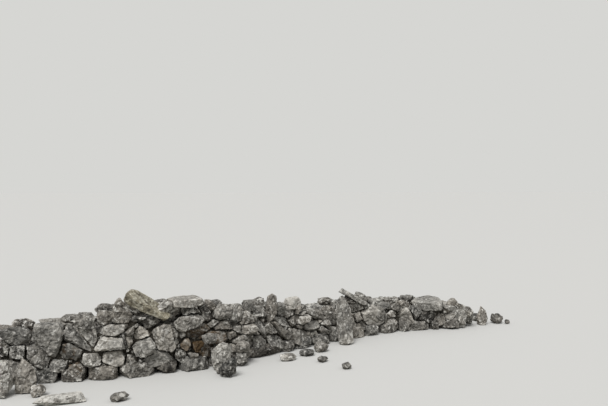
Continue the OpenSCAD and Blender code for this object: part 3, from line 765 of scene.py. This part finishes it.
pinning = {  # small stones: the least and most room for one, and how much wider and higher than that it is
    "apart": 0.014, "least": 0.013, "most": 0.09, "tries": 500, "wide": (1.35, 1.9), "high": (1.1, 1.4),
    "turn": 0.3, "underTop": 0.012, "fromStart": 0.02, "fromEnd": 0.01, "fromFoot": 0.01,
    "tone": (0.2, 0.75), "sunk": (0.0, 0.03), "depth": (0.12, 0.18), "spacing": 0.015,
}

def pinsFor(chart, taken, start, end, low, dice):  # they fill the room that is left, the largest room first
    spots = []
    for u in np.arange(start, end, pinning["apart"]):
        high = topOf(chart, u) - pinning["underTop"]
        spots += [(u, z) for z in np.arange(low, high, pinning["apart"])]
    spots = np.array(spots)
    taken = [outline for outline in taken if len(outline) > 2]
    room = np.full(len(spots), pinning["most"])
    for outline in taken:
        room = np.minimum(room, farFrom(spots, outline))
    pins = []
    for _ in range(pinning["tries"]):
        k = int(np.argmax(room))
        if room[k] < pinning["least"]:
            break
        reach = room[k]
        turn = dice.normal(0, pinning["turn"])
        size = (reach * dice.uniform(*pinning["wide"]), reach * dice.uniform(*pinning["high"]))
        box = np.array([(-1, -1), (1, -1), (1, 1), (-1, 1)]) * size
        pin = spots[k] + box @ flatTurn(turn).T
        for outline in taken + pins:
            if np.abs(outline.mean(axis=0) - spots[k]).max() < nearby:
                ways, fars = edgesOf(outline)
                out = ways @ spots[k] - fars
                best = int(np.argmax(out))
                if 0 < out[best] < 3 * reach:
                    pin = cutOutline(pin, -ways[best], -fars[best] - joints["gap"] / 2)
        if len(pin) > 2:
            pins.append(pin)
            room = np.minimum(room, farFrom(spots, pin))
        room[k] = -1
    return pins

coursing = {  # the courses of the faces that the photograph doesn't show
    "height": (0.10, 0.18), "length": (0.15, 0.38), "upTo": 0.85, "stagger": 0.15, "closer": 0.95,
    "unevenAlong": 0.012, "unevenUp": 0.018, "flat": 1.6, "underTop": 0.05, "pastEnd": 0.05,
    "belowFoot": 0.01, "overTop": 0.005, "narrowest": 0.03, "spacing": 0.014, "tone": (0.25, 0.75),
    "endFoot": 0.01, "endMiddle": 0.2, "endInset": 0.01, "endTone": (0.3, 0.7), "endOut": (0.045, 0.075),
    "endTilt": 0.12,
}

def coursedCells(chart, start, end, low, dice):  # each stone has the room nearest to its own middle
    sites, z = [], low
    while z < coursing["upTo"]:
        h = dice.uniform(*coursing["height"])
        u = start - dice.uniform(0.0, coursing["stagger"])
        while u < end:
            w = dice.uniform(*coursing["length"])
            shift = dice.normal(0, coursing["unevenAlong"]), dice.normal(0, coursing["unevenUp"])
            sites.append((u + w / 2 + shift[0], z + h / 2 + shift[1]))
            u += w
        z += h * coursing["closer"]
    sites = np.array(sites)
    tops = np.array([topOf(chart, min(max(u, start), end)) for u, z in sites])
    standing = sites[:, 1] < tops - coursing["underTop"]
    sites, tops = sites[standing], tops[standing]
    squeeze = np.array([1.0, coursing["flat"]])
    cells = []
    for k, (site, top) in enumerate(zip(sites, tops)):
        if not start - coursing["pastEnd"] < site[0] < end + coursing["pastEnd"]:
            continue
        foot, head = low - coursing["belowFoot"], top + coursing["overTop"]
        cell = np.array([(start, foot), (end, foot), (end, head), (start, head)])
        near = np.nonzero(np.abs(sites - site).max(axis=1) < nearby)[0]
        for j in near[near != k]:
            way = (sites[j] - site) * squeeze ** 2
            far = (((sites[j] * squeeze) ** 2).sum() - ((site * squeeze) ** 2).sum()) / 2
            size = np.linalg.norm(way)
            if len(cell):
                cell = cutOutline(cell, way / size, far / size - joints["gap"] / 2)
        if isWide(cell, coursing["narrowest"]):
            cells.append(cell)
    return cells

def boundAround(points):  # the box that fits an outline best: middle, halves and slope, and the points in it
    ring = np.vstack([points + (np.roll(points, -1, axis=0) - points) * t for t in np.linspace(0, 0.9, 8)])
    spread = np.cov((ring - ring.mean(axis=0)).T)
    slope = 0.5 * math.atan2(2 * spread[0, 1], spread[0, 0] - spread[1, 1])
    turn = flatTurn(slope)
    turned = points @ turn
    low, high = turned.min(axis=0), turned.max(axis=0)
    return turn @ ((low + high) / 2), (high - low) / 2, slope, turned - (low + high) / 2

faceStones = {  # ring is how wide the broken rim of its front is, and slope how steep, in degrees
    "depth": 0.21, "depthSpread": (0.85, 1.15), "out": (-0.03, 0.05), "taper": (0.05, 0.25),
    "ring": (0.01, 0.05), "ringMost": 0.8, "slope": (5, 40), "tilt": 0.38, "spacing": 0.0125,
    "breaks": (3, (0.72, 0.95), (0, -1.2, 0.3)), "lichen": (0.2, 0.9), "leastHalf": 0.01, "leastReach": 0.006,
    "narrowest": 0.015, "underFoot": 0.015,
}

def outlineStone(chart, outline, dice, tone, out=None, depth=None, spacing=faceStones["spacing"],
                 tilt=faceStones["tilt"]):
    middle, halves, slope, local = boundAround(outline)
    point, base = surfaceAt(chart, *middle)
    depth = depth or faceStones["depth"] * dice.uniform(*faceStones["depthSpread"])
    out = dice.uniform(*faceStones["out"]) if out is None else out
    axes = base @ np.array(Matrix.Rotation(-slope, 3, "Y"))
    half = np.maximum([halves[0], depth / 2, halves[1]], faceStones["leastHalf"])
    sides = []
    for way, far in zip(*edgesOf(local)):
        ring = min(dice.uniform(*faceStones["ring"]), min(halves) * faceStones["ringMost"]) - depth / 2
        taper = dice.uniform(*faceStones["taper"])
        long = math.hypot(1, taper)
        n = np.array([way[0], taper, way[1]]) / long
        sides.append(n * half / max((far + taper * ring) / long, faceStones["leastReach"]))
        lean = math.radians(dice.uniform(*faceStones["slope"]))
        n = np.array([way[0] * math.cos(lean), -math.sin(lean), way[1] * math.cos(lean)])
        sides.append(n * half / (math.cos(lean) * far - math.sin(lean) * ring))
    for way in (-1, 1):
        n = dice.normal(0, tilt, 3)
        n[1] = way
        sides.append(n)
    sides = knockOff(np.array(sides), half, dice, *faceStones["breaks"])
    lichen = dice.uniform(*faceStones["lichen"])
    centre = point + base[:, 1] * (depth / 2 - out)
    return newStone(centre, half, axes, sides, gridFor(half, spacing), 2 * half.min(), dice, tone, lichen)

def chartOutline(outline):
    return hullOf([onChart(charts["front"], *ontoFace(*p)) for p in spotsOf(outline)])

def throughOutlines(chart, solids):  # where stones that the frame has already come through a face
    found = []
    for solid in solids:
        spots = []
        for p in solid["points"]:
            x, across = wallPlace(p)
            if across * chart["side"] > halfAt(p[2]) - joints["through"] and p[2] > wall["footingHeight"]:
                spots.append(onChart(chart, x, p[2]))
        if len(spots) > 2:
            found.append(hullOf(spots))
    return found

hollow = {
    "along": -1.33, "height": 0.31, "wide": 0.27, "high": 0.14, "depth": 0.05,
    "stain": 1.05, "stainPast": 0.5,  # the stain goes on past its edge by this
}

def inHollow(x, z):  # where the front has slipped: 1 in the middle of it, less than nothing outside
    return 1 - math.hypot((x - hollow["along"]) / hollow["wide"], (z - hollow["height"]) / hollow["high"])

faceFoot = wall["footingHeight"] - 0.005  # face stones start just under the top of the footings
toStart, toEnd = np.array([-1.0, 0.0]), np.array([1.0, 0.0])

def frontMasonry(dice):
    chart = charts["front"]
    start, end = chartEnds(chart)
    named = [(label, tone, chartOutline(outline)) for label, (tone, outline) in frontStones.items()]
    named = [row for row in named if row[2][:, 1].mean() > faceFoot - faceStones["underFoot"]]
    obstacles = [chartOutline(outline) for label, (node, tone, outline) in singleStones.items()
                 if node == "face_boulders" and label not in frontStones]
    obstacles += throughOutlines(chart, solidsOf["through_stones"])
    shared = shareOut([outline for label, tone, outline in named], obstacles)
    shared = [cutOutline(outline, toStart, -start) for outline in shared]
    stones = []
    for (label, tone, _), outline in zip(named, shared):
        if isWide(outline, faceStones["narrowest"]):
            stone = outlineStone(chart, outline, dice, tone)
            stone["stain"] = brownStones.get(label, 0.0)
            stones.append(stone)
    pins = pinsFor(chart, shared + obstacles, start + pinning["fromStart"], end - pinning["fromEnd"],
                   faceFoot + pinning["fromFoot"], dice)
    for pin in [cutOutline(cutOutline(pin, toStart, -start), toEnd, end) for pin in pins]:
        x, z = alongAt(chart, pin.mean(axis=0)[0]), pin[:, 1].mean()
        sunk = dice.uniform(*pinning["sunk"]) + (hollow["depth"] if inHollow(x, z) > 0 else 0.0)
        tone, depth = dice.uniform(*pinning["tone"]), dice.uniform(*pinning["depth"])
        stones.append(outlineStone(chart, pin, dice, tone, -sunk, depth, pinning["spacing"]))
    for stone in stones:
        x, across = wallPlace(stone["centre"])
        brown = min(1.0, max(0.0, hollow["stainPast"] + inHollow(x, stone["centre"][2])))
        stone["stain"] += hollow["stain"] * brown
    print("stones read from the photograph:", len(shared), "pinning stones:", len(pins))
    return stones

def hiddenMasonry(dice):  # the back face, then stones coursed across both ends
    chart = charts["back"]
    carried = throughOutlines(chart, solidsOf["through_stones"] + solidsOf["face_boulders"])
    cells = coursedCells(chart, *chartEnds(chart), faceFoot, np.random.default_rng(seeds["backCourses"]))
    stones = [outlineStone(chart, cell, dice, dice.uniform(*coursing["tone"]), spacing=coursing["spacing"])
              for cell in shareOut(cells, carried) if isWide(cell, coursing["narrowest"])]
    side = halfAt(coursing["endMiddle"]) - coursing["endInset"]
    for chart in (charts["nearEnd"], charts["farEnd"]):
        courses = np.random.default_rng(seeds["endCourses"])
        for cell in coursedCells(chart, -side, side, coursing["endFoot"], courses):
            tone, out = dice.uniform(*coursing["endTone"]), dice.uniform(*coursing["endOut"])
            stones.append(outlineStone(chart, cell, dice, tone, out, spacing=coursing["spacing"],
                                       tilt=coursing["endTilt"]))
    print("stones of the back face and the ends:", len(stones))
    return stones

def bayOf(stone):
    x = wallPlace(stone["centre"])[0]
    return min(max(int((x + wallLength / 2) / wall["bayLength"]) + 1, 1), wall["bays"])

dice = np.random.default_rng(seeds["faceStones"])
for side, stones in (("front", frontMasonry(dice)), ("back", hiddenMasonry(dice))):
    for k in bayNumbers:
        pieces.append((f"{side}_stones_{k}", [s for s in stones if bayOf(s) == k], f"{side}_face_{k}"))

# make the pieces

sharpFrom = math.radians(22)  # two faces that meet at less than this look smooth
triangles = 0
for name, stones, node in pieces:
    obj = joinStones(name, stones)
    runNodes(obj, weatherTree, slabWeathering if "slab" in name else weathering)
    obj.data.set_sharp_from_angle(angle=sharpFrom)
    triangles += len(obj.data.polygons)
    if node == "leaning_slab":
        obj.data.materials.clear()
        obj.data.materials.append(tannedLimestone)
    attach(obj, "root")
    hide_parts(node)
print("pieces:", len(pieces), "triangles:", triangles)

# the rubble that shows between the stones of a face: the frame's face, drawn in and lowered

packing = {"drawnIn": 0.085, "lowered": 0.2, "look": (0.4, 0.2, 0.3, 0.5), "flat": 0.01}

def drawnIn(point):  # towards the middle of the wall, and down
    x, across = wallPlace(point)
    x = min(max(x, packing["drawnIn"] - wallLength / 2), masonryEnd - packing["drawnIn"])
    z = wall["footingHeight"] + (point[2] - wall["footingHeight"]) * (1 - packing["lowered"])
    return place(x, across * (1 - packing["drawnIn"] / halfAt(point[2])), z)

def packedFace(name, source):
    bm = mergedCopy(source)
    bmesh.ops.dissolve_limit(bm, angle_limit=packing["flat"], verts=bm.verts, edges=bm.edges)
    bmesh.ops.triangulate(bm, faces=bm.faces)
    for v in bm.verts:
        v.co = drawnIn(v.co)
    mesh = bpy.data.meshes.new(name)
    bm.to_mesh(mesh)
    bm.free()
    paintLooks(mesh, [packing["look"]] * len(mesh.vertices))
    # its finish is dark partly as earth and partly as painted shade
    mesh.materials.append(packedRubbleInPaintedShade)
    return inScene(name, mesh)

for side in ("front", "back"):
    for k in bayNumbers:
        packed = packedFace(f"{side}_packing_{k}", f"{side}_face_{k}")
        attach(packed, "root")
for k in bayNumbers:
    # the cores take the same finish, dark partly as earth and partly as painted shade
    meshOf(f"core_{k}").materials.clear()
    meshOf(f"core_{k}").materials.append(packedRubbleInPaintedShade)
print("packed faces and cores:", 3 * wall["bays"])

# loose rubble on the broken top: how far apart, how many in a square metre, how large against a chip's size

rubble = {"apart": 0.04, "perArea": 900.0, "smallest": 0.6, "largest": 1.7, "seed": 7}
hearting = {"apart": 0.09, "perArea": 180.0, "smallest": 2.0, "largest": 3.4, "seed": 19}
chipShape = {  # turns and looks are the least and the most of each
    "kinds": 5, "half": (0.022, 0.017, 0.012), "spread": (0.75, 1.25), "sunk": 0.25, "edge": 90.0,
    "skew": 0.17, "sides": (0.84, 1.0), "corners": (4, 8), "cornersLeave": (0.52, 0.82),
    "breaks": (6, (0.8, 0.95)), "tone": 0.5, "lichen": 0.4,
    "turns": ((-0.5, -0.5, 0.0), (0.5, 0.5, fullTurn)), "looks": ((0.3, 0.2, 0.0), (0.75, 0.8, 0.3)),
}
flatTops = {"slopeLeast": 0.6, "overFootings": 0.03}

def topsOf(names):
    verts, faces = [], []
    least = wall["footingHeight"] + flatTops["overFootings"]
    for name in names:
        mesh = meshOf(name)
        for p in mesh.polygons:
            if p.normal.z > flatTops["slopeLeast"] and p.center.z > least:
                faces.append(list(range(len(verts), len(verts) + len(p.vertices))))
                verts += [mesh.vertices[i].co[:] for i in p.vertices]
    mesh = bpy.data.meshes.new("brokenTop")
    mesh.from_pydata(verts, [], faces)
    return mesh

def roughSides(dice):  # six sides a little out of square, and some knocked-off corners
    sides = []
    for axis in range(3):
        for way in (-1, 1):
            n = dice.normal(0, chipShape["skew"], 3)
            n[axis] = way
            sides.append(n / np.linalg.norm(n) / dice.uniform(*chipShape["sides"]))
    for _ in range(dice.integers(*chipShape["corners"])):
        n = dice.choice([-1, 1], 3) * dice.uniform(0.05, 1, 3)
        n /= np.linalg.norm(n)
        sides.append(n / (np.abs(n).sum() * dice.uniform(*chipShape["cornersLeave"])))
    return np.array(sides)

def rubbleTree(chips, finish):
    tree, start = beginTree("scatterRubble", rubble)
    spots = addNode(tree, "GeometryNodeDistributePointsOnFaces", {
        "Mesh": start["Geometry"], "Distance Min": start["apart"], "Density Max": start["perArea"],
        "Seed": start["seed"]}, distribute_method="POISSON")
    kinds = addNode(tree, "GeometryNodeCollectionInfo", {"Collection": chips, "Separate Children": True,
                                                         "Reset Children": True})
    turn, look = (
        addNode(tree, "FunctionNodeRandomValue", {0: least, 1: most, "Seed": seed}, data_type="FLOAT_VECTOR")
        for (least, most), seed in ((chipShape["turns"], 3), (chipShape["looks"], 11))
    )
    size = addNode(tree, "FunctionNodeRandomValue", {2: start["smallest"], 3: start["largest"], "Seed": 5},
                   data_type="FLOAT").outputs[1]
    laid = addNode(tree, "GeometryNodeInstanceOnPoints", {
        "Points": spots, "Instance": kinds, "Pick Instance": True, "Rotation": turn, "Scale": size})
    named = addNode(tree, "GeometryNodeStoreNamedAttribute", {
        "Geometry": laid, "Name": "stoneLook", "Value": look}, data_type="FLOAT_COLOR", domain="INSTANCE")
    return endTree(tree, named, finish)

chips = bpy.data.collections.new("chips")
dice = np.random.default_rng(seeds["chips"])
for k in range(chipShape["kinds"]):
    half = np.array(chipShape["half"]) * dice.uniform(*chipShape["spread"], 3)
    sides = knockOff(roughSides(dice), half, dice, *chipShape["breaks"])
    centre = (0, 0, half[2] * chipShape["sunk"])
    chip = newStone(centre, half, np.eye(3), sides, chipGrid, 2 * half.min(), dice,
                    chipShape["tone"], chipShape["lichen"], edge=chipShape["edge"])
    chipObject = joinStones(f"chip_{k}", [chip])
    scene.collection.objects.unlink(chipObject)
    chips.objects.link(chipObject)
topNames = [f"core_{k}" for k in bayNumbers]
topNames += [f"{side}_packing_{k}" for side in ("front", "back") for k in bayNumbers]
scatterTree = rubbleTree(chips, weatheredLimestone)
scattered = []
for name, sizes in (("top_rubble", rubble), ("top_hearting", hearting)):
    loose = inScene(name, topsOf(topNames))
    runNodes(loose, scatterTree, sizes)
    scattered.append(loose)
for chip in list(chips.objects):
    bpy.data.objects.remove(chip)
bpy.data.collections.remove(chips)
for loose in scattered:
    loose.data.set_sharp_from_angle(angle=sharpFrom)
    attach(loose, "root")
print("rubble triangles:", [len(loose.data.polygons) for loose in scattered])

# floor, light and camera

studio = {
    "floor": "#d9d8d4", "floorBounce": "#8f8e88", "floorHalf": 300.0, "floorDrop": 0.0005,
    "backdrop": "#d6d6d3", "sky": "#f4f5f6", "skyStrength": 0.5,
    "sun": 2.1, "sunSoftness": 30.0, "sunFrom": (-0.5, -0.55, 1.0),
}

# matt studio paper, pale to the eye, which throws less light back up at the wall than it seems to
paper = bpy.data.materials.new("studioPaper")
paper.use_nodes = True
sheet = paper.node_tree
sheet.nodes.clear()
seen = addNode(sheet, "ShaderNodeLightPath").outputs["Is Camera Ray"]
tint = addNode(sheet, "ShaderNodeMix", {0: seen, 6: linearColour(studio["floorBounce"]),
                                        7: linearColour(studio["floor"])}, data_type="RGBA").outputs[2]
matt = addNode(sheet, "ShaderNodeBsdfPrincipled", {"Base Color": tint, "Roughness": 0.9})
addNode(sheet, "ShaderNodeOutputMaterial", {"Surface": matt})
floorMesh = bpy.data.meshes.new("floor")
floorCorners = [(x * studio["floorHalf"], y * studio["floorHalf"], -studio["floorDrop"])
                for x, y in ((-1, -1), (1, -1), (1, 1), (-1, 1))]
floorMesh.from_pydata(floorCorners, [], [(0, 1, 2, 3)])
floorMesh.materials.append(paper)
floor = inScene("floor", floorMesh)

# an even sky lights it, and the camera sees a plain backdrop
world = bpy.data.worlds.new("studioSky")
world.use_nodes = True
scene.world = world
air = world.node_tree
air.nodes.clear()
sky = addNode(air, "ShaderNodeBackground", {"Color": linearColour(studio["sky"]),
                                            "Strength": studio["skyStrength"]})
backdrop = addNode(air, "ShaderNodeBackground", {"Color": linearColour(studio["backdrop"])})
seen = addNode(air, "ShaderNodeLightPath").outputs["Is Camera Ray"]
both = addNode(air, "ShaderNodeMixShader", {0: seen, 1: sky, 2: backdrop})
addNode(air, "ShaderNodeOutputWorld", {"Surface": both})

sun = bpy.data.lights.new("softSun", "SUN")
sun.energy = studio["sun"]
sun.angle = math.radians(studio["sunSoftness"])
inScene("softSun", sun).rotation_euler = Vector(studio["sunFrom"]).to_track_quat("Z", "Y").to_euler()

lens = bpy.data.cameras.new("photoCamera")
lens.sensor_width = 36.0
lens.lens = photo["focal"] * lens.sensor_width / photo["width"]
camera = inScene("photoCamera", lens)
camera.location = photo["eye"]
camera.rotation_euler = eyeAngles
scene.camera = camera
scene.view_settings.view_transform = "Standard"
